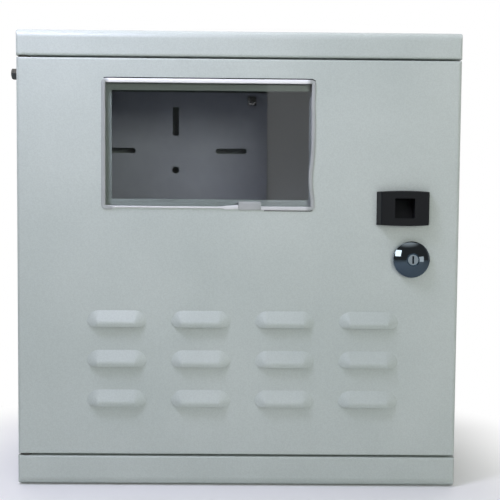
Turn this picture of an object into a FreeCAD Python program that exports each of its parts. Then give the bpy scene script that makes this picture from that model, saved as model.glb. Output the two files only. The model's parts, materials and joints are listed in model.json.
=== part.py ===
"""Wall-mounted electric meter box: folded sheet-steel cabinet, louvred door with window, quarter-turn lock.

Millimetres. The origin is the middle of the four wall holes, on the back face of the cabinet.
X runs to the right, Z up, and the door faces -Y.
"""
import FreeCAD
import Part
import math
import os

# Cabinet
box_w = 435.0
box_h = 450.0
body_d = 150.0            # back face to the front of the frame
door_d = 22.0             # frame front to the face of door and fascias
sheet = 1.2
top_fascia_h = 26.0
bottom_fascia_h = 30.0
fascia_bend_r = 9.0       # outside radius of the long front bends
end_bend_r = 3.0          # outside radius of the trays' end bends
lip_bend_r = 1.8          # outside radius where a fascia turns back
wrap_bend_r = 3.0

# Wall fixings
wall_inset_x = 67.5       # side of the box to a hole
wall_inset_z = 40.0       # top or bottom of the box to a hole
wall_hole_r = 4.25

# Cable knock-outs in the floor
knockout_count = 3
knockout_spacing = 90.0
knockout_r = 14.0
knockout_slit = 0.8
knockout_bridge = 4.0
knockout_from_back = 70.0

# Front frame and its rain rim
rim_inset_side = 24.0     # side of the box to the rim
rim_corner_r = 6.0
seal_t = 3.0
seal_w = 6.0
seal_clear = 0.3          # seal to the rim's edge
seal_edge = 0.3           # seal to the pan's end bends

# Meter plate
plate_w = 215.0
plate_h = 300.0
plate_t = 1.5
plate_left_of_window = 46.0   # window's middle to the middle of the plate and of its slots
plate_below_shelf = 9.6
plate_stand = 25.0        # back face of the cabinet to the plate's front
plate_corner_r = 3.0
fix_inset_x = 18.2
fix_inset_z = 9.7
slot_w = 6.2
slot_upright_drop = 17.0  # plate's top to the slot's top
slot_upright_h = 33.4
slot_upright_w = 7.4
slot_corner_r = 1.2       # upright slot, punched by a square tool
slot_level_drop = 68.4    # plate's top to the level slots' middle
slot_level_near = 47.2    # plate's middle to the nearer end
slot_level_w = 36.7
plate_hole_drop = 90.9
plate_hole_r = 4.2
stud_r = 3.0
stud_over = 3.0
spacer_r = 5.5
nut_square = 10.0
nut_square_t = 5.0

# Earth bolt on the left side
earth_below_shelf = 12.2
earth_behind_frame = 12.0
earth_r = 3.0
earth_hex = 10.0
earth_head_t = 4.0
earth_nut_t = 5.0
earth_washer_r = 6.2
earth_washer_t = 1.2
earth_lock_washer_t = 1.6

# Door pan
door_gap = 2.0            # fascia to door, top and bottom
door_flange_d = 19.5
door_side_bend_r = 4.0
door_end_bend_r = 2.0

# Hinge
hinge_from_side = 7.0
hinge_from_front = 7.5
hinge_pin_r = 2.5
hinge_pin_head_r = 5.0
hinge_pin_head_t = 2.0
hinge_pin_reach = 10.0    # pin past the door's flange
bush_r = 4.2
bush_collar_r = 6.0
bush_inner_t = 1.6        # bush past the flange, inside the pan

# Window
window_from_side = 86.3   # left side of the box to the window's edge
window_below_top = 22.8   # door's top to the window's edge
window_w = 202.8
window_h = 121.2
window_corner_r = 4.0
trim_web = 1.4
trim_cover = 3.0
trim_leg = 1.2
trim_chamfer = 0.7        # front edges of the strip
trim_joint_offset = 40.8  # window's middle to the joint
trim_joint_w = 22.0
pane_over = 5.0
pane_t = 3.0
retainer_w = 193.9
retainer_h = 106.2
retainer_corner_r = 1.0
retainer_offset = 1.7     # window's middle to the middle of the ring's opening
retainer_band = 9.0       # pane edge to the ring's outer edge
retainer_stud_r = 1.5
retainer_stud_inset = 16.4   # pane edge to the outer studs
retainer_stud_over = 1.5
retainer_nut_hex = 5.5
retainer_nut_t = 2.4

# Louvres
louvre_columns = 4
louvre_rows = 3
louvre_offset = 5.0       # middle of the box to the middle of the pattern
louvre_above_bottom = 48.9   # door's bottom to the lowest lip
louvre_spacing_x = 82.8
louvre_spacing_z = 39.4
louvre_w = 59.0
louvre_h = 16.0
louvre_depth = 6.0
louvre_curl = 4.0         # lip below the nose line
louvre_nose_r = 4.0
louvre_lip_r = 7.0        # rounding of the lip's two ends

# Finger pull
pull_from_side = 56.0     # right side of the box to the block's middle
pull_above_lock = 49.9
pull_w = 52.0
pull_h = 32.4
pull_bow = 0.9            # rise of the long edges at mid-length
pull_d = 9.0
pull_slope = 3.0          # ends lean in by this much
pull_chamfer = 0.8
pocket_w = 19.4
pocket_corner_r = 1.0
pocket_deep = 17.0        # face to the pocket's floor at its top
pocket_shallow = 11.0     # the same at its bottom
cup_wall = 1.8
pull_screw_x = 17.5
pull_screw_r = 1.9
pull_screw_depth = 6.0
pull_screw_head_r = 3.8
pull_screw_head_t = 2.4

# Lock
lock_from_side = 47.6     # right side of the box to the lock's axis
lock_above_middle = 1.1   # door's mid-height to the lock's axis
bezel_r = 17.8
bezel_rim = 4.5
bezel_dome = 7.0
barrel_r = 11.0
lock_nut_hex = 27.0
lock_nut_t = 5.0
plug_r = 5.0
plug_head_r = 6.2
plug_head_t = 2.5
plug_chamfer = 1.2
keyway_w = 1.8
keyway_h = 7.4
keyway_d = 12.0
tail_square = 7.0
cam_reach = 37.0
cam_hub_r = 8.0
cam_tip_r = 5.5
cam_t = 2.5
cam_clear = 0.6           # frame lip to the cam
cam_nut_hex = 10.0
cam_nut_t = 4.0
tail_thread_r = 3.0
tail_over = 1.0

# Clearances
weld_clear = 0.02         # radial, shank in its own hole
run_clear = 0.05          # radial, turning parts
side_clear = 0.3          # face to face, turning parts
bolt_clear = 0.3          # radial, bolt in a clearance hole

# Planes that the pieces share
half_w = box_w / 2
half_h = box_h / 2
front = -(body_d + door_d)
panel_back = front + sheet
frame_front = -body_d
frame_back = frame_front + sheet
wrap_half = half_w - sheet
shelf_top = half_h - top_fascia_h
shelf_bottom = -half_h + bottom_fascia_h
door_top = shelf_top - door_gap
door_bottom = shelf_bottom + door_gap
rim_front = panel_back + seal_t + seal_clear
rim_half = half_w - rim_inset_side
rim_inset_end = door_end_bend_r + seal_edge + (seal_w - sheet) / 2
rim_top = door_top - rim_inset_end
rim_bottom = door_bottom + rim_inset_end
trim_back = panel_back + trim_leg
pane_back = trim_back + pane_t
retainer_back = pane_back + sheet
wall_x = half_w - wall_inset_x
wall_z = half_h - wall_inset_z
window_x = -half_w + window_from_side + window_w / 2
window_z = door_top - window_below_top - window_h / 2
plate_x = window_x - plate_left_of_window
plate_top = shelf_top - plate_below_shelf
plate_front = -plate_stand
plate_back = plate_front + plate_t
plate_bottom = plate_top - plate_h
earth_y = frame_back + earth_behind_frame
earth_z = shelf_top - earth_below_shelf
pane_w = window_w + 2 * pane_over
pane_h = window_h + 2 * pane_over
hinge_x = -half_w + hinge_from_side
hinge_y = front + hinge_from_front
cam_front = frame_back + cam_clear
cam_back = cam_front + cam_t
barrel_end = cam_front - side_clear
lock_x = half_w - lock_from_side
lock_z = (door_top + door_bottom) / 2 + lock_above_middle
pull_x = half_w - pull_from_side
pull_z = lock_z + pull_above_lock
dome_r = (bezel_r ** 2 + bezel_dome ** 2) / (2 * bezel_dome)
dome_y = front - bezel_rim - bezel_dome + dome_r
plug_face = dome_y - math.sqrt(dome_r ** 2 - plug_head_r ** 2)
pull_front = front - pull_d
cup_w = pocket_w + 2 * cup_wall
cup_r = pocket_corner_r + cup_wall
cup_back = pull_front + pocket_deep + cup_wall
past = 5.0                # cutters run this far past a face
shortest_run = 0.000001   # a straight run below this is left out of an outline


def vec(x, y, z):
    return FreeCAD.Vector(x, y, z)


def box(x0, x1, y0, y1, z0, z1):
    return Part.makeBox(x1 - x0, y1 - y0, z1 - z0, vec(x0, y0, z0))


def rod(r, start, end):
    return Part.makeCylinder(r, (end - start).Length, start, end - start)


def tube(r_out, r_in, start, end):
    return rod(r_out, start, end).cut(rod(r_in, start, end))


def across(x, z):
    """Point on a line parallel to Y, given as a function of y."""
    return lambda y: vec(x, y, z)


def rectangle(u, v, w, h):
    """Corners of a rectangle about its middle."""
    return [(u - w / 2, v - h / 2), (u + w / 2, v - h / 2), (u + w / 2, v + h / 2), (u - w / 2, v + h / 2)]


def rounded_face(corners, radii, place):
    """Face inside a closed outline of straight runs, each corner turned by an arc of its own radius."""
    points = [vec(u, v, 0) for u, v in corners]
    turns = []
    for i, point in enumerate(points):
        back = (points[i - 1] - point).normalize()
        ahead = (points[(i + 1) % len(points)] - point).normalize()
        half = back.getAngle(ahead) / 2
        middle = (back + ahead).normalize()
        run = radii[i] / math.tan(half)
        crest = middle * (radii[i] / math.sin(half) - radii[i])
        turns.append((point + back * run, point + crest, point + ahead * run))
    edges = []
    for i, (start, crest, end) in enumerate(turns):
        if radii[i] > 0:
            edges.append(Part.Arc(place(start), place(crest), place(end)).toShape())
        following = turns[(i + 1) % len(turns)][0]
        if (following - end).Length > shortest_run:
            edges.append(Part.LineSegment(place(end), place(following)).toShape())
    return Part.Face(Part.Wire(edges))


def front_slab(corners, radii, y0, y1):
    """Outline in X and Z, given depth in Y."""
    return rounded_face(corners, radii, lambda p: vec(p.x, y0, p.y)).extrude(vec(0, y1 - y0, 0))


def plan_slab(corners, radii, z0, z1):
    """Outline in X and Y, given height in Z."""
    return rounded_face(corners, radii, lambda p: vec(p.x, p.y, z0)).extrude(vec(0, 0, z1 - z0))


def side_slab(corners, radii, x0, x1):
    """Outline in Y and Z, given width in X."""
    return rounded_face(corners, radii, lambda p: vec(x0, p.x, p.y)).extrude(vec(x1 - x0, 0, 0))


def front_block(u, v, w, h, r, y0, y1):
    return front_slab(rectangle(u, v, w, h), [r] * 4, y0, y1)


def chamfered_front(shape, y, size):
    """The shape with its foremost edges, which lie in the plane at y, bevelled."""
    edges = [edge for edge in shape.Edges if all(abs(v.Point.y - y) < shortest_run for v in edge.Vertexes)]
    return shape.makeChamfer(size, edges)


def hexagon(flats, start, end, flat_towards):
    """Hexagonal prism from start to end, with a flat that faces flat_towards."""
    axis = (end - start).normalize()
    up = vec(*flat_towards)
    across_axis = axis.cross(up)
    reach = flats / math.sqrt(3)
    corners = []
    for k in range(6):
        angle = math.radians(30 + 60 * k)
        corners.append(start + up * (reach * math.cos(angle)) + across_axis * (reach * math.sin(angle)))
    return Part.Face(Part.makePolygon(corners + corners[:1])).extrude(end - start)


def hex_nut(flats, bore_r, start, end, flat_towards):
    return hexagon(flats, start, end, flat_towards).cut(rod(bore_r, start, end))


def cabinet_wrap():
    """Left side, back and right side, folded from one sheet."""
    low = -half_h + sheet
    high = half_h - sheet
    corners = [(-wrap_half, frame_back), (wrap_half, frame_back), (wrap_half, 0), (-wrap_half, 0)]
    shape = plan_slab(corners, [0, 0, wrap_bend_r, wrap_bend_r], low, high)
    inner = wrap_half - sheet
    hollow = [(-inner, frame_back - past), (inner, frame_back - past), (inner, -sheet), (-inner, -sheet)]
    inner_r = wrap_bend_r - sheet
    shape = shape.cut(plan_slab(hollow, [0, 0, inner_r, inner_r], low - past, high + past))
    tray_r = end_bend_r - sheet
    shape = shape.common(front_block(0, 0, 2 * wrap_half, high - low, tray_r, frame_back, 0))
    holes = []
    for x in (-wall_x, wall_x):
        for z in (-wall_z, wall_z):
            holes.append(rod(wall_hole_r, vec(x, -sheet - past, z), vec(x, past, z)))
    bolt_hole_r = earth_r + bolt_clear
    earth_start = vec(-wrap_half - past, earth_y, earth_z)
    earth_end = vec(-inner + past, earth_y, earth_z)
    holes.append(rod(bolt_hole_r, earth_start, earth_end))
    return shape.cut(holes)


def tray_block(inset, side, fascia_h):
    """Block inside a tray's sheet lines, moved inwards by inset. side is +1 at the top, -1 at the bottom."""
    face = side * (half_h - inset)
    shelf = side * (half_h - fascia_h + inset)
    reach = half_w - inset
    nose = front + inset
    back = past if inset else 0
    bend = fascia_bend_r - inset
    end = end_bend_r - inset
    lip = max(lip_bend_r - inset, 0)
    section = [(back, face), (nose, face), (nose, shelf), (back, shelf)]
    block = side_slab(section, [0, bend, lip, 0], -reach, reach)
    plan = [(-reach, back), (-reach, nose), (reach, nose), (reach, back)]
    block = block.common(plan_slab(plan, [0, end, end, 0], shelf, face))
    elevation = [(-reach, shelf), (-reach, face), (reach, face), (reach, shelf)]
    return block.common(front_slab(elevation, [0, end, end, 0], nose, back))


def tray(side, fascia_h):
    """Folded tray: face, fascia, two end cheeks and a shelf that turns back to the frame."""
    shape = tray_block(0, side, fascia_h).cut(tray_block(sheet, side, fascia_h))
    shelf = side * (half_h - fascia_h)
    low, high = sorted((shelf - side * past, shelf + side * 2 * sheet))
    shape = shape.cut(box(-wrap_half, wrap_half, frame_back, past, low, high))
    pin_hole_r = hinge_pin_r + weld_clear
    start = vec(hinge_x, hinge_y, low)
    return shape.cut(rod(pin_hole_r, start, vec(hinge_x, hinge_y, high)))


def top_hood():
    return tray(1, top_fascia_h)


def bottom_pan():
    """Lower tray with its row of cable knock-outs, each slug held by two bridges."""
    shape = tray(-1, bottom_fascia_h)
    low = -half_h - past
    high = -half_h + 2 * sheet
    slits = []
    for k in range(knockout_count):
        x = (k - (knockout_count - 1) / 2) * knockout_spacing
        middle = -knockout_from_back
        ring = tube(knockout_r, knockout_r - knockout_slit, vec(x, middle, low), vec(x, middle, high))
        reach = knockout_r + past
        half = knockout_bridge / 2
        bridge = box(x - half, x + half, middle - reach, middle + reach, low, high)
        slits.append(ring.cut(bridge))
    return shape.cut(slits)


def front_frame():
    """Ring between the fascias, its inner edge turned out to a rim that keeps rain off the seal."""
    outer_h = shelf_top - shelf_bottom
    middle = (shelf_top + shelf_bottom) / 2
    rim_h = rim_top - rim_bottom
    rim_middle = (rim_top + rim_bottom) / 2
    plate = front_block(0, middle, 2 * wrap_half, outer_h, 0, frame_front, frame_back)
    rim = front_block(0, rim_middle, 2 * rim_half, rim_h, rim_corner_r, rim_front, frame_back)
    mouth_r = rim_corner_r - sheet
    mouth_w = 2 * (rim_half - sheet)
    mouth_h = rim_h - 2 * sheet
    mouth = front_block(0, rim_middle, mouth_w, mouth_h, mouth_r, rim_front - past, frame_back + past)
    return plate.fuse(rim).cut(mouth)


def plate_fixings():
    """The four places where the meter plate is held, as x and z."""
    left = plate_x - plate_w / 2 + fix_inset_x
    right = plate_x + plate_w / 2 - fix_inset_x
    low = plate_bottom + fix_inset_z
    high = plate_top - fix_inset_z
    return [(left, low), (right, low), (left, high), (right, high)]


def meter_plate():
    """Flat plate with one upright and two level slots, so that meters of several sizes fit."""
    middle = (plate_top + plate_bottom) / 2
    shape = front_block(plate_x, middle, plate_w, plate_h, plate_corner_r, plate_front, plate_back)
    y0 = plate_front - past
    y1 = plate_back + past
    end_r = slot_w / 2
    upright_z = plate_top - slot_upright_drop - slot_upright_h / 2
    level_x = slot_level_near + slot_level_w / 2
    level_z = plate_top - slot_level_drop
    hole_z = plate_top - plate_hole_drop
    cuts = [front_block(plate_x, upright_z, slot_upright_w, slot_upright_h, slot_corner_r, y0, y1)]
    for way in (-1, 1):
        cuts.append(front_block(plate_x + way * level_x, level_z, slot_level_w, slot_w, end_r, y0, y1))
    cuts.append(rod(plate_hole_r, vec(plate_x, y0, hole_z), vec(plate_x, y1, hole_z)))
    for x, z in plate_fixings():
        cuts.append(rod(stud_r + bolt_clear, vec(x, y0, z), vec(x, y1, z)))
    return shape.cut(cuts)


def plate_studs():
    end = plate_front - nut_square_t - stud_over
    return Part.Compound([rod(stud_r, vec(x, -sheet, z), vec(x, end, z)) for x, z in plate_fixings()])


def plate_spacers():
    bore = stud_r + bolt_clear
    spots = plate_fixings()
    return Part.Compound([tube(spacer_r, bore, vec(x, -sheet, z), vec(x, plate_back, z)) for x, z in spots])


def plate_nuts():
    nuts = []
    end = plate_front - nut_square_t
    for x, z in plate_fixings():
        block = front_block(x, z, nut_square, nut_square, 0, end, plate_front)
        nuts.append(block.cut(rod(stud_r + weld_clear, vec(x, end, z), vec(x, plate_front, z))))
    return Part.Compound(nuts)


def earth_stack():
    """Outward order of the earth bolt's pieces as (kind, start, end), measured from the side sheet."""
    pieces = []
    at = 0
    order = (("washer", earth_washer_t), ("nut", earth_nut_t), ("washer", earth_washer_t),
             ("washer", earth_washer_t), ("washer", earth_lock_washer_t), ("nut", earth_nut_t))
    for kind, thickness in order:
        pieces.append((kind, at, at + thickness))
        at += thickness
    return pieces


def earth_point(out):
    """Point on the bolt's axis, out from the left side's outer face."""
    return vec(-wrap_half - out, earth_y, earth_z)


def earth_bolt():
    """Bolt with its head inside and its end level with the outer nut."""
    inside = -sheet
    head = hexagon(earth_hex, earth_point(inside), earth_point(inside - earth_head_t), (0, 0, 1))
    return head.fuse(rod(earth_r, earth_point(inside), earth_point(earth_stack()[-1][2])))


def earth_washers():
    bore = earth_r + bolt_clear
    stack = [piece for piece in earth_stack() if piece[0] == "washer"]
    return Part.Compound([tube(earth_washer_r, bore, earth_point(a), earth_point(b)) for _, a, b in stack])


def earth_nuts():
    bore = earth_r + weld_clear
    stack = [piece for piece in earth_stack() if piece[0] == "nut"]
    nuts = [hex_nut(earth_hex, bore, earth_point(a), earth_point(b), (0, 0, 1)) for _, a, b in stack]
    return Part.Compound(nuts)


def hinge_point(z):
    return vec(hinge_x, hinge_y, z)


def hinge_pin(shelf, side):
    """Headed pin through a fascia's shelf into the door. side is +1 at the top, -1 at the bottom."""
    seat = shelf + side * sheet
    head = rod(hinge_pin_head_r, hinge_point(seat), hinge_point(seat + side * hinge_pin_head_t))
    tip = shelf - side * (door_gap + sheet + hinge_pin_reach)
    return head.fuse(rod(hinge_pin_r, hinge_point(seat), hinge_point(tip)))


def hinge_bush(shelf, side):
    """Collared bush pressed into the door's flange, its collar in the gap below or above the fascia."""
    edge = shelf - side * door_gap
    collar = rod(bush_collar_r, hinge_point(edge), hinge_point(shelf - side * side_clear))
    inner = edge - side * (sheet + bush_inner_t)
    sleeve = rod(bush_r, hinge_point(edge), hinge_point(inner))
    bore = rod(hinge_pin_r + run_clear, hinge_point(shelf), hinge_point(inner - side * past))
    return collar.fuse(sleeve).cut(bore)


def door_block(inset):
    """Full block inside the door's sheet lines, moved inwards by inset."""
    reach = half_w - inset
    nose = front + inset
    back = front + door_flange_d + (past if inset else 0)
    low = door_bottom + inset
    high = door_top - inset
    side_r = door_side_bend_r - inset
    end_r = door_end_bend_r - inset
    plan = [(-reach, back), (-reach, nose), (reach, nose), (reach, back)]
    section = [(back, low), (nose, low), (nose, high), (back, high)]
    block = plan_slab(plan, [0, side_r, side_r, 0], low, high)
    return block.common(side_slab(section, [0, end_r, end_r, 0], -reach, reach))


def louvre_spots():
    spots = []
    for column in range(louvre_columns):
        x = louvre_offset + (column - (louvre_columns - 1) / 2) * louvre_spacing_x
        for row in range(louvre_rows):
            spots.append((x, door_bottom + louvre_above_bottom + row * louvre_spacing_z))
    return spots


def louvre_half(x, z, inset, y_back, side):
    """Half of a louvre's section at x: foot, slope and rounded nose. side is +1 above the nose, -1 below."""
    rise = louvre_h - louvre_curl
    over = louvre_depth - louvre_nose_r
    slope = math.atan2(over, rise) + math.asin(louvre_nose_r / math.hypot(rise, over))
    nose_r = louvre_nose_r - inset
    centre_y = front - over

    def at(angle):
        return vec(x, centre_y - nose_r * math.cos(angle), z + side * nose_r * math.sin(angle))

    touch = at(slope)
    foot = abs(touch.z - z) + (y_back - touch.y) / math.tan(slope)
    outline = Part.makePolygon([at(0), vec(x, y_back, z), vec(x, y_back, z + side * foot), touch])
    nose = Part.Arc(touch, at(slope / 2), at(0)).toShape()
    return Part.Face(Part.Wire(outline.Edges + [nose]))


def louvre_bulge(x, lip, inset, y_back):
    """Section swept between two ends and turned about each, kept inside the lip, whose ends turn up."""
    z = lip + louvre_curl
    reach = louvre_w / 2 - (louvre_h - louvre_curl)
    left = x - reach
    right = x + reach
    roll = [louvre_half(left, z, inset, y_back, side).extrude(vec(right - left, 0, 0)) for side in (1, -1)]
    for end, way in ((left, -1), (right, 1)):
        section = louvre_half(end, z, inset, y_back, 1)
        roll.append(section.revolve(vec(end, 0, z), vec(0, way, 0), 180))
    outline = rectangle(x, lip + louvre_h, louvre_w, 2 * louvre_h)
    frame = front_slab(outline, [louvre_lip_r, louvre_lip_r, 0, 0], front - past - louvre_depth, y_back)
    return roll[0].fuse(roll[1:]).common(frame)


def door_panel():
    """Folded pan with pressed louvres, holes for window, lock and fasteners, and a bush hole in each flange."""
    shape = door_block(0).cut(door_block(sheet))
    spots = louvre_spots()
    shape = shape.fuse([louvre_bulge(x, lip, 0, front + sheet / 2) for x, lip in spots])
    cuts = [louvre_bulge(x, lip, sheet, panel_back + past) for x, lip in spots]
    y0 = front - past
    y1 = panel_back + past
    cuts.append(front_block(window_x, window_z, window_w, window_h, window_corner_r, y0, y1))
    cuts.append(rod(barrel_r + bolt_clear, vec(lock_x, y0, lock_z), vec(lock_x, y1, lock_z)))
    cup_hole = cup_w + 2 * bolt_clear
    cuts.append(front_block(pull_x, pull_z, cup_hole, cup_hole, cup_r + bolt_clear, y0, y1))
    for x in (pull_x - pull_screw_x, pull_x + pull_screw_x):
        cuts.append(rod(pull_screw_r + bolt_clear, vec(x, y0, pull_z), vec(x, y1, pull_z)))
    for edge in (door_top, door_bottom):
        cuts.append(rod(bush_r + weld_clear, hinge_point(edge - past), hinge_point(edge + past)))
    return shape.cut(cuts)


def window_edge_trim():
    """U-section strip round the window's cut edge, its two ends apart at the joint in the lower run."""
    outer_w = window_w + 2 * trim_cover
    outer_h = window_h + 2 * trim_cover
    outer_r = window_corner_r + trim_cover
    inner_w = window_w - 2 * trim_web
    inner_h = window_h - 2 * trim_web
    inner_r = window_corner_r - trim_web
    nose = front - trim_leg
    shape = front_block(window_x, window_z, outer_w, outer_h, outer_r, nose, trim_back)
    y0 = nose - past
    y1 = trim_back + past
    shape = shape.cut(front_block(window_x, window_z, inner_w, inner_h, inner_r, y0, y1))
    shape = chamfered_front(shape, nose, trim_chamfer)
    steel = front_block(window_x, window_z, outer_w + past, outer_h + past, outer_r, front, panel_back)
    edge = front_block(window_x, window_z, window_w, window_h, window_corner_r, front, panel_back)
    low = window_z - outer_h / 2
    half = trim_joint_w / 2
    middle = window_x + trim_joint_offset
    joint = box(middle - half, middle + half, y0, y1, low - past, window_z)
    return shape.cut([steel.cut(edge), joint])


def window_pane():
    return front_block(window_x, window_z, pane_w, pane_h, window_corner_r, trim_back, pane_back)


def retainer_spots():
    """Weld studs in two rows, above and below the pane, as x and z."""
    rows = (window_z - pane_h / 2 - retainer_band / 2, window_z + pane_h / 2 + retainer_band / 2)
    spacing = pane_w / 2 - retainer_stud_inset
    return [(window_x + k * spacing, z) for k in (-1, 0, 1) for z in rows]


def window_retainer():
    """Flat ring that clamps the pane, its opening a little smaller than the window."""
    outer_w = pane_w + 2 * retainer_band
    outer_h = pane_h + 2 * retainer_band
    shape = front_block(window_x, window_z, outer_w, outer_h, window_corner_r, pane_back, retainer_back)
    y0 = pane_back - past
    y1 = retainer_back + past
    middle = window_x + retainer_offset
    cuts = [front_block(middle, window_z, retainer_w, retainer_h, retainer_corner_r, y0, y1)]
    hole_r = retainer_stud_r + bolt_clear
    for x, z in retainer_spots():
        cuts.append(rod(hole_r, vec(x, y0, z), vec(x, y1, z)))
    return shape.cut(cuts)


def retainer_studs():
    end = retainer_back + retainer_nut_t + retainer_stud_over
    spots = retainer_spots()
    return Part.Compound([rod(retainer_stud_r, vec(x, panel_back, z), vec(x, end, z)) for x, z in spots])


def retainer_nuts():
    nuts = []
    bore = retainer_stud_r + weld_clear
    end = retainer_back + retainer_nut_t
    for x, z in retainer_spots():
        line = across(x, z)
        nuts.append(hex_nut(retainer_nut_hex, bore, line(retainer_back), line(end), (0, 0, 1)))
    return Part.Compound(nuts)


def door_seal():
    """Foam strip on the inside of the door, centred on the rim that it meets."""
    middle = (rim_top + rim_bottom) / 2
    line_w = 2 * rim_half - sheet
    line_h = rim_top - rim_bottom - sheet
    line_r = rim_corner_r - sheet / 2
    back = panel_back + seal_t
    outer = front_block(0, middle, line_w + seal_w, line_h + seal_w, line_r + seal_w / 2, panel_back, back)
    inner = front_block(0, middle, line_w - seal_w, line_h - seal_w, line_r - seal_w / 2, panel_back, back)
    return outer.cut(inner)


def pull_outline(w, y):
    """Block outline with bowed long edges, at depth y."""
    left = pull_x - w / 2
    right = pull_x + w / 2
    low = pull_z - pull_h / 2
    high = pull_z + pull_h / 2
    a, b, c, d = vec(left, y, low), vec(right, y, low), vec(right, y, high), vec(left, y, high)
    edges = [Part.Arc(a, vec(pull_x, y, low - pull_bow), b), Part.LineSegment(b, c),
             Part.Arc(c, vec(pull_x, y, high + pull_bow), d), Part.LineSegment(d, a)]
    return Part.Wire([edge.toShape() for edge in edges])


def finger_pull():
    """Moulded block with leaning ends and a square cup behind it, its floor deeper towards the top."""
    nose = pull_front
    foot = pull_outline(pull_w, front)
    face = pull_outline(pull_w - 2 * pull_slope, nose)
    shape = Part.makeLoft([foot, face], True, True)
    shape = chamfered_front(shape, nose, pull_chamfer)
    shape = shape.fuse(front_block(pull_x, pull_z, cup_w, cup_w, cup_r, front, cup_back))
    shaft = front_block(pull_x, pull_z, pocket_w, pocket_w, pocket_corner_r, nose - past, cup_back)
    low = pull_z - pocket_w
    high = pull_z + pocket_w
    slope = (pocket_deep - pocket_shallow) / pocket_w
    middle = (pocket_deep + pocket_shallow) / 2
    floor = [(nose - past, low), (nose + middle - slope * pocket_w, low),
             (nose + middle + slope * pocket_w, high), (nose - past, high)]
    pocket = shaft.common(side_slab(floor, [0] * len(floor), pull_x - pocket_w, pull_x + pocket_w))
    cuts = [pocket]
    for x in (pull_x - pull_screw_x, pull_x + pull_screw_x):
        deep = front - pull_screw_depth
        cuts.append(rod(pull_screw_r + weld_clear, vec(x, front, pull_z), vec(x, deep, pull_z)))
    return shape.cut(cuts)


def pull_screws():
    screws = []
    for x in (pull_x - pull_screw_x, pull_x + pull_screw_x):
        line = across(x, pull_z)
        head = rod(pull_screw_head_r, line(panel_back), line(panel_back + pull_screw_head_t))
        screws.append(head.fuse(rod(pull_screw_r, line(panel_back), line(front - pull_screw_depth))))
    return Part.Compound(screws)


def lock_point(y):
    return vec(lock_x, y, lock_z)


def lock_body():
    """Turned bezel with a rim and a spherical dome, on a barrel bored for the plug and its head."""
    head_bore = plug_head_r + run_clear
    bore = plug_r + run_clear
    head_seat = plug_face + plug_head_t + side_clear

    def on_dome(r):
        return vec(lock_x + r, dome_y - math.sqrt(dome_r ** 2 - r ** 2), lock_z)

    crown = Part.Arc(on_dome(head_bore), on_dome((head_bore + bezel_r) / 2), on_dome(bezel_r)).toShape()
    profile = [(bezel_r, front), (barrel_r, front), (barrel_r, barrel_end),
               (bore, barrel_end), (bore, head_seat), (head_bore, head_seat)]
    turns = [vec(lock_x + r, y, lock_z) for r, y in profile]
    outline = Part.makePolygon([on_dome(bezel_r)] + turns + [on_dome(head_bore)])
    section = Part.Face(Part.Wire([crown] + outline.Edges))
    return section.revolve(lock_point(front), vec(0, 1, 0), 360)


def lock_nut():
    end = panel_back + lock_nut_t
    return hex_nut(lock_nut_hex, barrel_r + weld_clear, lock_point(panel_back), lock_point(end), (0, 0, 1))


def lock_plug():
    """Key plug with a headed face, an upright keyway, a squared tail for the cam and a threaded end."""
    head = rod(plug_head_r, lock_point(plug_face), lock_point(plug_face + plug_head_t))
    head = chamfered_front(head, plug_face, plug_chamfer)
    core = rod(plug_r, lock_point(plug_face), lock_point(barrel_end))
    tail = front_block(lock_x, lock_z, tail_square, tail_square, 0, barrel_end, cam_back)
    thread_end = cam_back + cam_nut_t + tail_over
    thread = rod(tail_thread_r, lock_point(cam_back), lock_point(thread_end))
    shape = head.fuse([core, tail, thread])
    keyway_end = plug_face + keyway_d
    return shape.cut(front_block(lock_x, lock_z, keyway_w, keyway_h, 0, plug_face - past, keyway_end))


def lock_cam():
    """Tongue that hangs from the plug at rest and tapers to a round tip."""
    tip_z = lock_z - cam_reach + cam_tip_r
    outline = [(lock_x - cam_hub_r, lock_z + cam_hub_r), (lock_x - cam_hub_r, lock_z - cam_hub_r),
               (lock_x - cam_tip_r, tip_z - cam_tip_r), (lock_x + cam_tip_r, tip_z - cam_tip_r),
               (lock_x + cam_hub_r, lock_z - cam_hub_r), (lock_x + cam_hub_r, lock_z + cam_hub_r)]
    hub_r = 0.8 * cam_hub_r
    tip_r = 0.8 * cam_tip_r
    shape = front_slab(outline, [hub_r, 0, tip_r, tip_r, 0, hub_r], cam_front, cam_back)
    hole = tail_square + 2 * weld_clear
    return shape.cut(front_block(lock_x, lock_z, hole, hole, 0, cam_front - past, cam_back + past))


def cam_nut():
    end = cam_back + cam_nut_t
    bore = tail_thread_r + weld_clear
    return hex_nut(cam_nut_hex, bore, lock_point(cam_back), lock_point(end), (0, 0, 1))


parts = {
    "cabinet_wrap": cabinet_wrap(),
    "top_hood": top_hood(),
    "bottom_pan": bottom_pan(),
    "front_frame": front_frame(),
    "meter_plate": meter_plate(),
    "plate_studs": plate_studs(),
    "plate_spacers": plate_spacers(),
    "plate_nuts": plate_nuts(),
    "earth_bolt": earth_bolt(),
    "earth_washers": earth_washers(),
    "earth_nuts": earth_nuts(),
    "hinge_pin_upper": hinge_pin(shelf_top, 1),
    "hinge_pin_lower": hinge_pin(shelf_bottom, -1),
    "door_panel": door_panel(),
    "window_edge_trim": window_edge_trim(),
    "window_pane": window_pane(),
    "window_retainer": window_retainer(),
    "retainer_studs": retainer_studs(),
    "retainer_nuts": retainer_nuts(),
    "door_seal": door_seal(),
    "finger_pull": finger_pull(),
    "pull_screws": pull_screws(),
    "hinge_bush_upper": hinge_bush(shelf_top, 1),
    "hinge_bush_lower": hinge_bush(shelf_bottom, -1),
    "lock_body": lock_body(),
    "lock_nut": lock_nut(),
    "lock_plug": lock_plug(),
    "lock_cam": lock_cam(),
    "cam_nut": cam_nut(),
}

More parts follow.
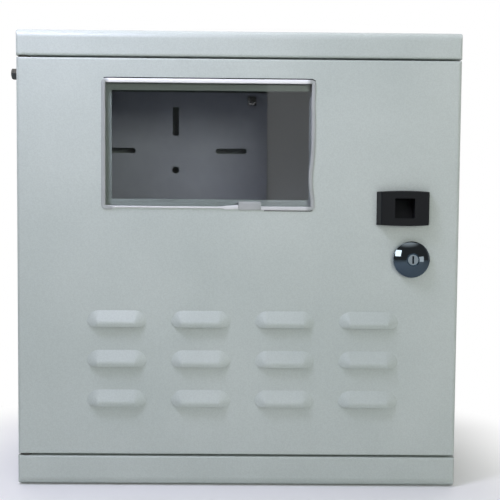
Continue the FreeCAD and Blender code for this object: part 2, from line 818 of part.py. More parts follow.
os.makedirs("parts", exist_ok=True)
for name, shape in parts.items():
    shape.exportStep(f"parts/{name}.step")
    print(f"{name}: {len(shape.Solids)} solids, {shape.Volume:.0f} mm3, valid {shape.isValid()}")
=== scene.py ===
"""Looks of the electric meter box: finishes, threaded fasteners, window edge strip, studio and camera.

Metres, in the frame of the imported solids: the middle of the four wall holes is the origin, +Z is up and the
door faces -Y. Sizes are typed in millimetres and multiplied by mm.
"""
import json
import math

import bmesh
import bpy
import numpy as np
from mathutils import Matrix, Vector


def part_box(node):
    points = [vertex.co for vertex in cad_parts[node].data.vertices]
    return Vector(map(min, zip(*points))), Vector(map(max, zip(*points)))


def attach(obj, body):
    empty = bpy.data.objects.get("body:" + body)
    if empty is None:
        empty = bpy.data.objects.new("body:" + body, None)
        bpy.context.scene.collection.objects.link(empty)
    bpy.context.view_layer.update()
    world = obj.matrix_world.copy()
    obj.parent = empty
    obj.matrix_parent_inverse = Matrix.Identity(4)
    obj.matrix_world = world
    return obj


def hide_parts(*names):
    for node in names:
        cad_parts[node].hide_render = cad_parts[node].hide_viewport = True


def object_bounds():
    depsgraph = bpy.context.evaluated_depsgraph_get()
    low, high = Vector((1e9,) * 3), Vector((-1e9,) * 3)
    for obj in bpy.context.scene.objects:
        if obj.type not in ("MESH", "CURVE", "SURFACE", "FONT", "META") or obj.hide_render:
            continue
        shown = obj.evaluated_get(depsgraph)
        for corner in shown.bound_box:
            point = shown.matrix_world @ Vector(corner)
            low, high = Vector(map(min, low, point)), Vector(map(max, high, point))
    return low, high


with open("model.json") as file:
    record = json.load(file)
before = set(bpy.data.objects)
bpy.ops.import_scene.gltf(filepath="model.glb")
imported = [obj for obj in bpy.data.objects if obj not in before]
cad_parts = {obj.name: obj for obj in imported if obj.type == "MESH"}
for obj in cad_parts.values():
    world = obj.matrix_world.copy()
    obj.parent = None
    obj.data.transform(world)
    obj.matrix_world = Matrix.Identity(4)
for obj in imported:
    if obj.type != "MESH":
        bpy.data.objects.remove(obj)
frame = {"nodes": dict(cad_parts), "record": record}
cad_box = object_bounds()
nodes = frame["nodes"]
mm = 0.001

# Camera, found from the corners of the box in the photograph
image_px = 500
focal_px = 713.0
sensor_mm = 36.0
eye = (6.2 * mm, -872.0 * mm, 42.0 * mm)
yaw = math.radians(-0.44)
pitch = math.radians(-2.53)
roll = math.radians(-0.47)

# Fasteners
sharp_deg = 32.0           # edges sharper than this aren't shaded smooth
nut_face = 0.95            # of the width across flats, where the chamfer meets the end
nut_chamfer_deg = 30.0
thread_depth = 0.54        # of the pitch
split_half_gap = math.radians(7.0)
stud_d = 6.0 * mm
stud_pitch = 1.0 * mm
square_nut = 10.0 * mm
retainer_stud_d = 3.0 * mm
retainer_stud_pitch = 0.5 * mm
retainer_hex = 5.5 * mm
earth_d = 6.0 * mm
earth_pitch = 1.0 * mm
earth_hex = 10.0 * mm
earth_head_t = 4.0 * mm
earth_washer_d = 12.4 * mm
earth_split_d = 11.0 * mm
earth_washer_clear = 0.3 * mm
earth_stack = (("washer", 1.2 * mm), ("nut", 5.0 * mm), ("washer", 1.2 * mm), ("washer", 1.2 * mm),
               ("split", 1.6 * mm), ("nut", 5.0 * mm))
pull_head_t = 2.4 * mm
pull_screw_d = 3.8 * mm
pull_pitch = 1.2 * mm
barrel_d = 22.0 * mm
barrel_pitch = 1.5 * mm
barrel_thread = 0.35 * mm
cam_thread_d = 6.0 * mm

# Cross-head screws, in shares of the head's height and then of its radius
head_rim = 0.35            # height of the edge under the dome
cross_depth = 0.6
cross_half = 0.15          # half the width of a slot
cross_side = 0.05          # run of the slot's sloping sides
cross_reach = 0.6
cross_end = 0.1            # run of the slot's sloping ends

# Window edge strip, whose length is counted from the right end of its joint, up the right side and round
strip_cover = 3.0 * mm     # over the face of the sheet
strip_web = 0.9 * mm
strip_leg = 1.2 * mm
strip_joint = 40.8 * mm    # window's middle to the middle of the joint
strip_gap = 22.0 * mm
strip_step = 1.0 * mm
strip_corner_r = 1.0 * mm
strip_crown = 0.35         # power of a half wave that rounds the faces of its legs
# Waves off the edge: size, place, half length
strip_slack = ((2.4 * mm, 78.0 * mm, 17.0 * mm), (0.5 * mm, 150.0 * mm, 12.0 * mm),
               (1.2 * mm, 626.0 * mm, 12.0 * mm))
# Runs painted lighter, a painted highlight where the horizontal runs catch the light from above: start, end,
# share of the highlight
strip_painted_highlight = ((-9.0 * mm, 47.0 * mm, 0.4), (172.0 * mm, 372.0 * mm, 1.0), (500.0 * mm, 640.0 * mm, 0.55))
# The run that is drawn out along the lower left: start, end, share of the width that is lost
strip_thin = ((500.0 * mm, 612.0 * mm, 0.5),)
clip_web = 5.5 * mm        # of the clip in the joint, into the window
clip_gap = 0.4 * mm
# Share of painted highlight on the clip
clip_painted_highlight = 0.05
# Runs of a dark bead, painted shade standing in for the shadow line at the strip's edge: start, end, radius
# of the bead
shadow_line_runs = ((2.0 * mm, 50.0 * mm, 0.35 * mm), (169.0 * mm, 373.0 * mm, 0.55 * mm))

# Studio
floor_size = 6.0
shadow_reach = 0.16        # past the box, where the floor has blended into the white around it
lock_metal = ("lock_body", "lock_plug")
earth_metal = ("earth_hex_bolt", "earth_hex_nuts", "earth_washer_stack")


def linear(code):
    """Linear RGBA of an sRGB hex colour."""
    parts = np.array([int(code[i:i + 2], 16) for i in (1, 3, 5)]) / 255
    rgb = np.where(parts <= 0.04045, parts / 12.92, ((parts + 0.055) / 1.055) ** 2.4)
    return (*rgb.tolist(), 1.0)


def add(tree, kind, values=(), links=(), **settings):
    """Add a node: settings are its properties, values and links fill its inputs by name or number."""
    made = tree.nodes.new(kind)
    for key, value in settings.items():
        setattr(made, key, value)
    for key, value in dict(values).items():
        made.inputs[key].default_value = value
    for key, output in dict(links).items():
        tree.links.new(output, made.inputs[key])
    return made


def noise(tree, place, size_mm, detail):
    """Share from a noise whose features are size_mm across."""
    made = add(tree, "ShaderNodeTexNoise", {"Scale": 1 / (size_mm * mm), "Detail": detail}, {"Vector": place})
    return made.outputs["Fac"]


def cells(tree, place, size_mm):
    """Share from the distance to the nearest of scattered points about size_mm apart."""
    made = add(tree, "ShaderNodeTexVoronoi", {"Scale": 1 / (size_mm * mm)}, {"Vector": place})
    return made.outputs["Distance"]


def between(tree, share, start, end, low=0.0, high=1.0):
    """Value that goes from start to end as a share goes from low to high."""
    made = add(tree, "ShaderNodeMapRange",
               {"From Min": low, "From Max": high, "To Min": start, "To Max": end}, {"Value": share})
    return made.outputs["Result"]


def two_tone(tree, share, dark, light, low=0.0, high=1.0):
    """Colour that goes from dark to light as a share goes from low to high."""
    ramp = add(tree, "ShaderNodeValToRGB", links={"Fac": share})
    ends = ramp.color_ramp.elements
    ends[0].position = low
    ends[0].color = linear(dark)
    ends[1].position = high
    ends[1].color = linear(light)
    return ramp.outputs["Color"]


def relief(tree, share, strength, depth_mm):
    """Normal of a surface that a share raises by up to depth_mm."""
    made = add(tree, "ShaderNodeBump", {"Strength": strength, "Distance": depth_mm * mm}, {"Height": share})
    return made.outputs["Normal"]


def finish(name, **sockets):
    """New material with one Principled shader.

    Returns the material, its tree, the shader and Object coordinates.
    """
    material = bpy.data.materials.new(name)
    material.use_nodes = True
    tree = material.node_tree
    shader = tree.nodes["Principled BSDF"]
    for key, value in sockets.items():
        shader.inputs[key.replace("_", " ")].default_value = value
    place = add(tree, "ShaderNodeTexCoord").outputs["Object"]
    return material, tree, shader, place


def wire(tree, shader, **outputs):
    """Link outputs to a shader's inputs, whose names have underscores here for spaces."""
    for key, output in outputs.items():
        tree.links.new(output, shader.inputs[key.replace("_", " ")])


def powder_coat():
    """Polyester powder on steel: it flows out in the oven, to a satin gloss with a faint orange peel."""
    material, tree, shader, place = finish("polyester_powder_coat", IOR=1.5)
    # The peel is 1 to 2 mm across on the real coat, and is drawn at 3 mm so that it shows
    peel = noise(tree, place, 3.0, 2.0)
    grit = noise(tree, place, 1.3, 1.0)
    cloud = noise(tree, place, 120.0, 3.0)
    tone = two_tone(tree, cloud, "#b6bfba", "#bfc7c2", 0.3, 0.7)
    speck = between(tree, grit, 0.955, 1.03, 0.35, 0.65)
    colour = add(tree, "ShaderNodeVectorMath", links={0: tone, 1: speck}, operation="MULTIPLY")
    wire(tree, shader, Base_Color=colour.outputs["Vector"],
         Roughness=between(tree, peel, 0.36, 0.46, 0.3, 0.7), Normal=relief(tree, peel, 0.8, 0.12))
    return material


def plate_coat():
    """Zinc-coated sheet: dull grey with a soft spangle that only shows as drifts of tone."""
    material, tree, shader, place = finish("galvanised_sheet", Metallic=0.25)
    spangle = cells(tree, place, 9.0)
    shade = add(tree, "ShaderNodeMix", {0: 0.25}, {2: noise(tree, place, 60.0, 3.0), 3: spangle})
    wire(tree, shader, Base_Color=two_tone(tree, shade.outputs[0], "#c6c9d1", "#d4d7dd", 0.25, 0.75),
         Roughness=between(tree, spangle, 0.45, 0.6))
    return material


def zinc_steel():
    """Zinc-plated steel: bright grey with faint yellow and blue drifts from the passivating bath."""
    material, tree, shader, place = finish("zinc_plated_steel", Metallic=1.0)
    drift = noise(tree, place, 5.0, 3.0)
    wire(tree, shader, Base_Color=two_tone(tree, drift, "#939496", "#a5a29c", 0.3, 0.7),
         Roughness=between(tree, drift, 0.34, 0.5))
    return material


def white_pvc():
    """Extruded PVC edging, glossy: white where painted highlight is marked on its horizontal runs, grey
    elsewhere.
    """
    material, tree, shader, place = finish("extruded_white_pvc", Roughness=0.32, IOR=1.53)
    wave = noise(tree, place, 14.0, 2.0)
    # The strip's marked share of painted highlight, for the light from above on its horizontal runs
    clean = add(tree, "ShaderNodeAttribute", attribute_name="clean")
    # Patches that are up to an eighth lighter or darker, at random
    patch = add(tree, "ShaderNodeMath", {1: 0.25, 2: -0.125}, {0: wave}, operation="MULTIPLY_ADD")
    share = add(tree, "ShaderNodeMath", links={0: clean.outputs["Fac"], 1: patch.outputs[0]}, operation="ADD")
    wire(tree, shader, Base_Color=two_tone(tree, share.outputs[0], "#a3a7a6", "#f2f3f4"),
         Normal=relief(tree, wave, 0.3, 0.1))
    return material


def clear_pane():
    """Cast acrylic sheet, polished clear. Shadow rays pass straight through, so light reaches the plate."""
    material, tree, shader, place = finish("cast_acrylic", Roughness=0.02, IOR=1.49, Transmission_Weight=1.0)
    wire(tree, shader, Base_Color=two_tone(tree, noise(tree, place, 40.0, 3.0), "#eef0f4", "#f7f8fb"))
    path = add(tree, "ShaderNodeLightPath")
    clear = add(tree, "ShaderNodeBsdfTransparent", {"Color": linear("#fafbfb")})
    mix = add(tree, "ShaderNodeMixShader",
              links={0: path.outputs["Is Shadow Ray"], 1: shader.outputs["BSDF"], 2: clear.outputs["BSDF"]})
    tree.links.new(mix.outputs["Shader"], tree.nodes["Material Output"].inputs["Surface"])
    return material


def foam_seal():
    """Closed-cell EPDM foam: dull black, with the skin of fine cells left by slitting."""
    material, tree, shader, place = finish("epdm_foam", Roughness=0.9)
    skin = cells(tree, place, 0.8)
    wire(tree, shader, Base_Color=two_tone(tree, skin, "#16171a", "#2b2c2e"),
         Normal=relief(tree, skin, 0.6, 0.3))
    return material


def black_moulding():
    """Moulded ABS from a spark-eroded tool: near-black, with a fine grain that dulls the gloss."""
    material, tree, shader, place = finish("moulded_abs", IOR=1.46)
    grain = noise(tree, place, 0.6, 2.0)
    wire(tree, shader, Base_Color=two_tone(tree, grain, "#121415", "#191b1d", 0.3, 0.7),
         Roughness=between(tree, grain, 0.38, 0.56), Normal=relief(tree, grain, 0.35, 0.08))
    return material


def chrome_plate():
    """Chrome on a turned zinc casting: a mirror, softened in places by handling."""
    material, tree, shader, place = finish("chrome_plate", Metallic=1.0)
    smear = noise(tree, place, 8.0, 4.0)
    wire(tree, shader, Base_Color=two_tone(tree, smear, "#a6b6c1", "#b8c5cd"),
         Roughness=between(tree, smear, 0.03, 0.12, 0.35, 0.75))
    return material


def nylon():
    """Moulded nylon, with a soft sheen, in a dark grey."""
    material, tree, shader, place = finish("moulded_nylon", Roughness=0.45, Subsurface_Weight=0.2,
                                           Subsurface_Radius=(1.5 * mm, 1.4 * mm, 1.2 * mm))
    wire(tree, shader, Base_Color=two_tone(tree, noise(tree, place, 3.0, 2.0), "#3f3d39", "#54514b"))
    return material


finishes = {make.__name__: make() for make in (powder_coat, plate_coat, zinc_steel, white_pvc, clear_pane,
                                               foam_seal, black_moulding, chrome_plate, nylon)}
for subpart in frame["record"]["subparts"]:
    slots = nodes[subpart["node"]].data.materials
    for index in range(len(slots)):
        slots[index] = finishes[subpart["material_slot"]]


def shell(points, ring=False):
    """Vertices, quads and caps of a grid of points (rows, columns, 3), whose columns close on themselves.

    A ring's rows close too. Otherwise a flat cap ends the first and the last row.
    """
    rows, columns = points.shape[:2]
    index = np.arange(rows * columns).reshape(rows, columns)
    wrapped = np.hstack([index, index[:, :1]])
    if ring:
        wrapped = np.vstack([wrapped, wrapped[:1]])
    quads = np.stack([wrapped[:-1, :-1], wrapped[:-1, 1:], wrapped[1:, 1:], wrapped[1:, :-1]], axis=-1)
    caps = [] if ring else [index[0, ::-1], index[-1]]
    return points.reshape(-1, 3), quads.reshape(-1, 4), caps


def piece(name, shells, slot, body, *stands_for, **marks):
    """One object made of shells: it takes a slot's finish, rides on a body and stands for the nodes named.

    Marks are values at its points that the finish reads.
    """
    faces = []
    count = 0
    for points, quads, caps in shells:
        faces += (quads + count).tolist() + [(cap + count).tolist() for cap in caps]
        count += len(points)
    mesh = bpy.data.meshes.new(name)
    mesh.from_pydata(np.concatenate([points for points, _, _ in shells]).tolist(), [], faces)
    skin = bmesh.new()
    skin.from_mesh(mesh)
    bmesh.ops.recalc_face_normals(skin, faces=skin.faces)
    skin.to_mesh(mesh)
    skin.free()
    mesh.shade_smooth()
    mesh.set_sharp_from_angle(angle=math.radians(sharp_deg))
    for mark, values in marks.items():
        mesh.attributes.new(mark, "FLOAT", "POINT").data.foreach_set("value", values)
    mesh.materials.append(finishes[slot])
    made = bpy.data.objects.new(name, mesh)
    bpy.context.scene.collection.objects.link(made)
    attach(made, body)
    if stands_for:
        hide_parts(*stands_for)


def turned(foot, axis, radius, along, turns):
    """Points at foot + along * axis + radius * spoke, where turns carry the spoke round the axis from +Z."""
    axis = np.array(axis, float)
    up = np.array((0.0, 0.0, 1.0))
    spoke = np.cos(turns)[..., None] * up + np.sin(turns)[..., None] * np.cross(axis, up)
    return np.array(foot) + along[..., None] * axis + radius[..., None] * spoke


def round_turns(count):
    """Angles of one full turn in equal steps."""
    return np.linspace(0, 2 * np.pi, count, endpoint=False)


def nut(foot, axis, flats, height, sides=6, bore=0.0):
    """Nut or bolt head: its wall is at flats / 2 / cos(angle to its flat), and a cone chamfers each end.

    With a bore the section is a closed ring, and without one both ends are capped.
    """
    turns = round_turns(12 * sides)
    flat = np.pi / sides
    wall = flats / 2 / np.cos((turns + flat) % (2 * flat) - flat)
    rise = math.tan(math.radians(nut_chamfer_deg))
    face = nut_face * flats / 2
    deep = (wall.max() - face) * rise
    along = np.concatenate([np.linspace(0, deep, 6), np.linspace(height - deep, height, 6)])
    cone = face + np.minimum(along, height - along) / rise
    radius = np.minimum(wall, cone[:, None])
    if bore:
        along = np.append(along, [height, 0])
        radius = np.vstack([radius, np.full((2, len(turns)), bore)])
    return shell(turned(foot, axis, radius, along[:, None], turns), ring=bore > 0)


def groove(along, turns, pitch):
    """Depth of a thread's groove, from 0 to 1: a triangle wave of along / pitch - turns / 2 pi."""
    return np.abs(2 * ((along / pitch - turns / (2 * np.pi)) % 1) - 1)


def threaded_rod(foot, axis, r, length, pitch):
    """Rod with a 60 degree thread, ended by a 45 degree bevel."""
    turns = round_turns(24)
    along = np.append(np.arange(0, length, pitch / 6), length)[:, None]
    deep = thread_depth * pitch
    radius = np.minimum(r - deep * groove(along, turns, pitch), r - deep + length - along)
    return shell(turned(foot, axis, radius, along, turns))


def washer(foot, axis, bore, r, height):
    """Flat ring: a closed section with its two outer edges eased by a sixth of its height."""
    turns = round_turns(48)
    ease = height / 6
    radius = np.array([bore, r - ease, r, r, r - ease, bore])
    along = np.array([0, 0, ease, height - ease, height, height])
    radius = np.repeat(radius[:, None], len(turns), axis=1)
    return shell(turned(foot, axis, radius, along[:, None], turns), ring=True)


def spring_washer(foot, axis, bore, r, height):
    """Split ring: a square section on most of one turn of a helix that climbs a sixth of its height."""
    turns = np.linspace(split_half_gap, 2 * np.pi - split_half_gap, 60)[:, None]
    climb = height / 6
    radius = np.array([bore, r, r, bore]) + 0 * turns
    along = np.array([0, 0, 1, 1]) * (height - climb) + climb * turns / (2 * np.pi)
    return shell(turned(foot, axis, radius, along, turns))


def cross_head(foot, axis, r, height):
    """Domed screw head, high by sqrt(1 - out^2), with a cross sunk where a point is near one of two lines."""
    turns = round_turns(96)
    out = np.linspace(0.04, 1, 26)[:, None]
    dome = height * (head_rim + (1 - head_rim) * np.sqrt(1 - out ** 2))
    near = out * np.minimum(np.abs(np.cos(turns)), np.abs(np.sin(turns)))
    sink = np.clip((cross_half - near) / cross_side, 0, 1) * np.clip((cross_reach - out) / cross_end, 0, 1)
    along = np.vstack([dome - cross_depth * height * sink, np.zeros((1, len(turns)))])
    radius = r * np.append(out, [[1.0]], axis=0) + 0 * along
    return shell(turned(foot, axis, radius, along, turns))


def corners(node, inset_x, inset_z):
    """Places of four fasteners that share a node, from the corners of its box, as x and z."""
    low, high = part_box(node)
    return [(x, z) for x in (low.x + inset_x, high.x - inset_x) for z in (low.z + inset_z, high.z - inset_z)]


def plate_fasteners():
    """Weld studs through the meter plate, and the square nuts on them."""
    low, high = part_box("plate_studs")
    r = stud_d / 2
    rods = [threaded_rod((x, high.y, z), (0, -1, 0), r, high.y - low.y, stud_pitch)
            for x, z in corners("plate_studs", r, r)]
    piece("plate_stud_threads", rods, "zinc_steel", "cabinet", "plate_studs")
    low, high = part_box("plate_nuts")
    half = square_nut / 2
    nuts = [nut((x, high.y, z), (0, -1, 0), square_nut, high.y - low.y, sides=4, bore=r)
            for x, z in corners("plate_nuts", half, half)]
    piece("square_nuts", nuts, "zinc_steel", "cabinet", "plate_nuts")


def retainer_fasteners():
    """Three weld studs above the pane and three below, with hexagon nuts."""
    low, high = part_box("retainer_studs")
    r = retainer_stud_d / 2
    ends = corners("retainer_studs", r, r)
    spots = ends + [((low.x + high.x) / 2, z) for _, z in ends[:2]]
    rods = [threaded_rod((x, low.y, z), (0, 1, 0), r, high.y - low.y, retainer_stud_pitch) for x, z in spots]
    piece("retainer_stud_threads", rods, "zinc_steel", "door", "retainer_studs")
    low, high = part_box("retainer_nuts")
    nuts = [nut((x, low.y, z), (0, 1, 0), retainer_hex, high.y - low.y, bore=r) for x, z in spots]
    piece("retainer_hex_nuts", nuts, "zinc_steel", "door", "retainer_nuts")


def earth_fasteners():
    """Earth bolt through the left side: head inside, then washer, nut, two washers, split washer and nut."""
    low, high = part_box("earth_bolt")
    y = (low.y + high.y) / 2
    z = (low.z + high.z) / 2
    outwards = (-1, 0, 0)
    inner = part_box("earth_washers")[1].x
    seat = high.x - earth_head_t
    r = earth_d / 2
    shank = threaded_rod((seat, y, z), outwards, r, seat - low.x, earth_pitch)
    piece("earth_hex_bolt", [nut((high.x, y, z), outwards, earth_hex, earth_head_t), shank],
          "zinc_steel", "cabinet", "earth_bolt")
    bore = r + earth_washer_clear
    rings = []
    nuts = []
    at = inner
    for kind, height in earth_stack:
        foot = (at, y, z)
        if kind == "washer":
            rings.append(washer(foot, outwards, bore, earth_washer_d / 2, height))
        elif kind == "split":
            rings.append(spring_washer(foot, outwards, bore, earth_split_d / 2, height))
        else:
            nuts.append(nut(foot, outwards, earth_hex, height, bore=r))
        at -= height
    piece("earth_washer_stack", rings, "zinc_steel", "cabinet", "earth_washers")
    piece("earth_hex_nuts", nuts, "zinc_steel", "cabinet", "earth_nuts")


def pull_fasteners():
    """Two cross-head screws that hold the finger pull from inside the door."""
    low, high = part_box("pull_screws")
    r = (high.z - low.z) / 2
    z = (low.z + high.z) / 2
    seat = high.y - pull_head_t
    shells = []
    for x in (low.x + r, high.x - r):
        shells.append(cross_head((x, seat, z), (0, 1, 0), r, pull_head_t))
        shells.append(threaded_rod((x, seat, z), (0, -1, 0), pull_screw_d / 2, seat - low.y, pull_pitch))
    piece("pull_cross_screws", shells, "zinc_steel", "door", "pull_screws")


def lock_fasteners():
    """Lock nut on the barrel, the thread it runs on, and the nut that holds the cam."""
    low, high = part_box("lock_nut")
    barrel_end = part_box("lock_body")[1].y
    x = (low.x + high.x) / 2
    z = (low.z + high.z) / 2
    r = barrel_d / 2
    flats = high.z - low.z
    piece("lock_hex_nut", [nut((x, low.y, z), (0, 1, 0), flats, high.y - low.y, bore=r)],
          "zinc_steel", "door", "lock_nut")
    turns = round_turns(72)
    along = np.linspace(0, barrel_end - high.y, 80)[:, None]
    ridge = r + barrel_thread * (1 - groove(along, turns, barrel_pitch))
    outer = turned((x, high.y, z), (0, 1, 0), ridge, along, turns)
    inner = turned((x, high.y, z), (0, 1, 0), r + 0 * ridge[::-1], along[::-1], turns)
    piece("barrel_thread", [shell(np.vstack([outer, inner]), ring=True)], "chrome_plate", "door")
    low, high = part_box("cam_nut")
    flats = high.z - low.z
    piece("cam_hex_nut", [nut((x, low.y, z), (0, 1, 0), flats, high.y - low.y, bore=cam_thread_d / 2)],
          "zinc_steel", "lock_plug", "cam_nut")


def window_edge():
    """Line of the window's cut edge, from one side of the strip's joint round to the other.

    It is four runs and four quarter circles, resampled by length. Returns the lengths, the points in x and z,
    and the directions out of the window.
    """
    low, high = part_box("window_edge_trim")
    middle = np.array([(low.x + high.x) / 2, (low.z + high.z) / 2])
    reach = np.array([(high.x - low.x) / 2, (high.z - low.z) / 2]) - strip_cover
    quarter = np.linspace(0, np.pi / 2, 5)
    arcs = []
    for start, side in ((-np.pi / 2, (1, -1)), (0, (1, 1)), (np.pi / 2, (-1, 1)), (np.pi, (-1, -1))):
        angle = start + quarter
        spokes = np.stack([np.cos(angle), np.sin(angle)], axis=1)
        arcs.append(np.array(side) * (reach - strip_corner_r) + strip_corner_r * spokes)
    joint = np.array([[strip_joint + strip_gap / 2, -reach[1]], [strip_joint - strip_gap / 2, -reach[1]]])
    line = np.vstack([joint[:1], *arcs, joint[1:]])
    length = np.append(0, np.cumsum(np.linalg.norm(np.diff(line, axis=0), axis=1)))
    at = np.arange(0, length[-1], strip_step)
    path = np.stack([np.interp(at, length, line[:, 0]), np.interp(at, length, line[:, 1])], axis=1)
    ahead = np.gradient(path, axis=0)
    ahead /= np.linalg.norm(ahead, axis=1, keepdims=True)
    return at, middle + path, np.stack([ahead[:, 1], -ahead[:, 0]], axis=1)


def within(at, runs):
    """Each run's share inside it and 0 outside, easing over a few steps at each end."""
    ease = 4 * strip_step
    return sum(share * np.clip((at - start) / ease, 0, 1) * np.clip((end - at) / ease, 0, 1)
               for start, end, share in runs)


def along_edge(path, out, section_out, section_y):
    """Section of offsets out of the window and depths, carried along part of the window's edge."""
    flat = path[:, None] + out[:, None] * section_out[..., None]
    return np.stack([flat[..., 0], np.broadcast_to(section_y, flat.shape[:2]), flat[..., 1]], axis=-1)


def strip_section(web):
    """U-section over the sheet's edge: two rounded legs, and a slot as wide as the sheet is thick.

    Returns the offsets out of the window and the depths.
    """
    low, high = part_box("window_edge_trim")
    lean = np.linspace(0, np.pi, 11)
    across = (strip_cover - web) / 2 + (strip_cover + web) / 2 * np.cos(lean)
    crown = strip_leg * np.sin(lean).clip(0) ** strip_crown
    face = low.y + strip_leg
    back = high.y - strip_leg
    section_out = np.concatenate([across, across[::-1], [0, 0]])
    section_y = np.concatenate([face - crown, back + crown, [back, face]])
    return section_out, section_y


def edge_strip():
    """Strip pushed on by hand: its section is carried along the window's edge.

    Bell curves of the length move it off the edge in waves. Where it is drawn thin it loses a share of its
    width.
    """
    at, path, out = window_edge()
    slack = sum(size * np.exp(-((at - place) / half) ** 2) for size, place, half in strip_slack)
    width = 1 - within(at, strip_thin)
    section_out, section_y = strip_section(strip_web)
    points = along_edge(path, out, section_out * width[:, None] - slack[:, None], section_y)
    # Share of painted highlight at each point of the section
    clean = np.repeat(within(at, strip_painted_highlight), len(section_y))
    piece("edge_strip", [shell(points)], "white_pvc", "door", "window_edge_trim", clean=clean)


def joint_clip():
    """Clip in the strip's joint: the strip's section with a taller web, carried straight from end to end."""
    _, path, out = window_edge()
    inwards = np.array([[clip_gap, 0], [-clip_gap, 0]])
    section_out, section_y = strip_section(clip_web)
    points = along_edge(path[[-1, 0]] + inwards, out[[-1, 0]], section_out[None], section_y)
    piece("joint_clip", [shell(points)], "white_pvc", "door", clean=np.full(2 * len(section_y), clip_painted_highlight))


def mastic_line():
    """Dark half-round bead on the sheet beside the strip's highlighted runs: painted shade for the shadow
    line at its edge.
    """
    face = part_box("window_edge_trim")[0].y + strip_leg
    at, path, out = window_edge()
    lean = np.linspace(0, np.pi, 7)
    shells = []
    for start, end, r in shadow_line_runs:
        run = (at > start) & (at < end)
        section_out = strip_cover + r * (1 + np.cos(lean))
        shells.append(shell(along_edge(path[run], out[run], section_out[None], face - r * np.sin(lean))))
    piece("mastic_line", shells, "foam_seal", "door")


plate_fasteners()
retainer_fasteners()
earth_fasteners()
pull_fasteners()
lock_fasteners()
edge_strip()
joint_clip()
mastic_line()


def studio_floor():
    """Floor under the box: pale paper that takes the shadow near the box.

    To the camera it glows white further out. Mirrors see the dim workshop floor that the photographed lock
    shows.
    """
    low = cad_box[0].z
    half = floor_size / 2
    mesh = bpy.data.meshes.new("studio_floor")
    mesh.from_pydata([(-half, -half, low), (half, -half, low), (half, half, low), (-half, half, low)], [],
                     [(0, 1, 2, 3)])
    floor = bpy.data.objects.new("studio_floor", mesh)
    bpy.context.scene.collection.objects.link(floor)
    material, tree, shader, place = finish("white_paper", Roughness=0.9)
    middle = (cad_box[0] + cad_box[1]) / 2
    reach = (cad_box[1] - cad_box[0]) / 2
    # Distance outside the box's footprint, from the overshoot of its two sides, with height left out
    offset = add(tree, "ShaderNodeVectorMath", {1: (middle.x, middle.y, 0)}, {0: place}, operation="SUBTRACT")
    size = add(tree, "ShaderNodeVectorMath", links={0: offset.outputs[0]}, operation="ABSOLUTE")
    over = add(tree, "ShaderNodeVectorMath", {1: (reach.x, reach.y, floor_size)}, {0: size.outputs[0]},
               operation="SUBTRACT")
    outside = add(tree, "ShaderNodeVectorMath", {1: (0, 0, 0)}, {0: over.outputs[0]}, operation="MAXIMUM")
    away = add(tree, "ShaderNodeVectorMath", links={0: outside.outputs[0]}, operation="LENGTH")
    fade = add(tree, "ShaderNodeMapRange", {"From Max": shadow_reach}, {"Value": away.outputs["Value"]},
               interpolation_type="SMOOTHSTEP")
    path = add(tree, "ShaderNodeLightPath")
    # Light that leaves the inside through the pane has a diffuse bounce behind it, and must not meet the glow
    direct = add(tree, "ShaderNodeMath", {1: 0.5}, {0: path.outputs["Diffuse Depth"]}, operation="LESS_THAN")
    through = add(tree, "ShaderNodeMath",
                  links={0: path.outputs["Is Transmission Ray"], 1: direct.outputs[0]}, operation="MULTIPLY")
    seen = add(tree, "ShaderNodeMath", links={0: path.outputs["Is Camera Ray"], 1: through.outputs[0]},
               operation="MAXIMUM")
    share = add(tree, "ShaderNodeMath", links={0: fade.outputs["Result"], 1: seen.outputs[0]},
                operation="MULTIPLY")
    paper = add(tree, "ShaderNodeMix", {6: linear("#f0f0f0"), 7: linear("#5c656c")},
                {0: path.outputs["Is Glossy Ray"]}, data_type="RGBA")
    tree.links.new(paper.outputs[2], shader.inputs["Base Color"])
    glow = add(tree, "ShaderNodeEmission", {"Strength": 1.0})
    mix = add(tree, "ShaderNodeMixShader",
              links={0: share.outputs[0], 1: shader.outputs["BSDF"], 2: glow.outputs["Emission"]})
    tree.links.new(mix.outputs["Shader"], tree.nodes["Material Output"].inputs["Surface"])
    mesh.materials.append(material)


def room():
    """World: white to the camera, and to all else a pale room, dim behind the camera and bright above."""
    world = bpy.data.worlds.new("room")
    bpy.context.scene.world = world
    world.use_nodes = True
    tree = world.node_tree
    background = tree.nodes["Background"]
    place = add(tree, "ShaderNodeTexCoord").outputs["Generated"]
    axes = add(tree, "ShaderNodeSeparateXYZ", links={0: place})
    depth = add(tree, "ShaderNodeMapRange",
                {"From Min": -0.1, "From Max": 0.6, "To Min": 0.035, "To Max": 0.9},
                {"Value": axes.outputs["Y"]}, interpolation_type="SMOOTHSTEP")
    height = add(tree, "ShaderNodeMapRange",
                 {"From Min": 0.75, "From Max": 1.0, "To Min": 0.0, "To Max": 0.4},
                 {"Value": axes.outputs["Z"]}, interpolation_type="SMOOTHSTEP")
    level = add(tree, "ShaderNodeMath", links={0: depth.outputs["Result"], 1: height.outputs["Result"]},
                operation="ADD")
    path = add(tree, "ShaderNodeLightPath")
    strength = add(tree, "ShaderNodeMix", {3: 1.0}, {0: path.outputs["Is Camera Ray"], 2: level.outputs[0]})
    tree.links.new(strength.outputs[0], background.inputs["Strength"])
    background.inputs["Color"].default_value = (1, 1, 1, 1)


def softbox(name, place, aim, width, height, watts, colour="#ffffff"):
    """Rectangular lamp at place, facing aim."""
    lamp = bpy.data.lights.new(name, "AREA")
    lamp.shape = "RECTANGLE"
    lamp.size = width
    lamp.size_y = height
    lamp.energy = watts
    lamp.color = linear(colour)[:3]
    holder = bpy.data.objects.new(name, lamp)
    bpy.context.scene.collection.objects.link(holder)
    holder.location = place
    holder.rotation_euler = (Vector(aim) - Vector(place)).to_track_quat("-Z", "Y").to_euler()
    return holder


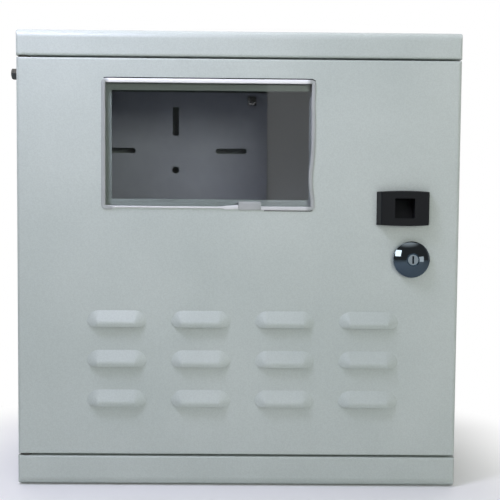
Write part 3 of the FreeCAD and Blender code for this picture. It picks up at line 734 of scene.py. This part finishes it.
def link_light(lamp, state, *names):
    """Keep a lamp off the named pieces (EXCLUDE) or let it light them alone (INCLUDE)."""
    linked = bpy.data.collections.new(lamp.name + "_linked")
    for name in names:
        linked.objects.link(bpy.data.objects[name])
    for member in linked.collection_objects:
        member.light_linking.link_state = state
    lamp.light_linking.receiver_collection = linked


def camera():
    """Camera at the photograph's place: turned by yaw, then pitch, then roll, from looking along +Y."""
    data = bpy.data.cameras.new("camera")
    data.sensor_width = sensor_mm
    data.lens = focal_px / image_px * sensor_mm
    holder = bpy.data.objects.new("camera", data)
    bpy.context.scene.collection.objects.link(holder)
    turn = Matrix.Rotation(yaw, 4, "Z") @ Matrix.Rotation(pitch, 4, "X") @ Matrix.Rotation(roll, 4, "Y")
    level = Matrix.Rotation(math.radians(90), 4, "X")
    holder.matrix_world = Matrix.Translation(eye) @ turn @ level
    bpy.context.scene.camera = holder


studio_floor()
room()
overhead = softbox("overhead_softbox", (0.1, -0.95, 1.25), (0, -0.17, 0.05), 1.0, 0.7, 0.8)
top = softbox("top_softbox", (0, -0.1, 1.3), (0, -0.1, 0), 1.2, 0.8, 3.9)
sheen = softbox("sheen_softbox", (-0.35, -1.05, 0.72), (-0.08, -0.17, 0.0), 0.6, 0.5, 1.9, "#eef0ff")
corner = softbox("corner_softbox", (-0.3, -0.45, 0.65), (-0.15, -0.17, 0.2), 0.2, 0.2, 3.3, "#e5e5ff")
# The lock's chrome would show these four as spots, and two would turn the top of the earth nut white
for lamp in (overhead, sheen):
    link_light(lamp, "EXCLUDE", *lock_metal)
for lamp in (top, corner):
    link_light(lamp, "EXCLUDE", *lock_metal, *earth_metal)
fill = softbox("fill_softbox", (0.95, -2.1, 0.42), (0, -0.17, 0.05), 0.9, 0.6, 12.0, "#fcfff7")
fill.visible_glossy = False
fill.visible_transmission = False
window = softbox("left_window", (-0.76, -0.80, 0.50), (-0.12, -0.17, 0.15), 0.56, 0.56, 2.1)
link_light(window, "INCLUDE", *lock_metal, *earth_metal)
softbox("right_window", (1.1, -0.94, 0.0), (0.17, -0.17, 0.0), 0.5, 0.4, 0.4)
softbox("front_softbox", (0.55, -1.3, 0.0), (0.05, -0.17, 0.0), 0.6, 0.6, 0.5)
softbox("far_window", (0.23, -1.9, 0.29), (0.05, -0.17, 0.11), 0.3, 0.6, 0.45)
camera()
bpy.context.scene.view_settings.view_transform = "Standard"
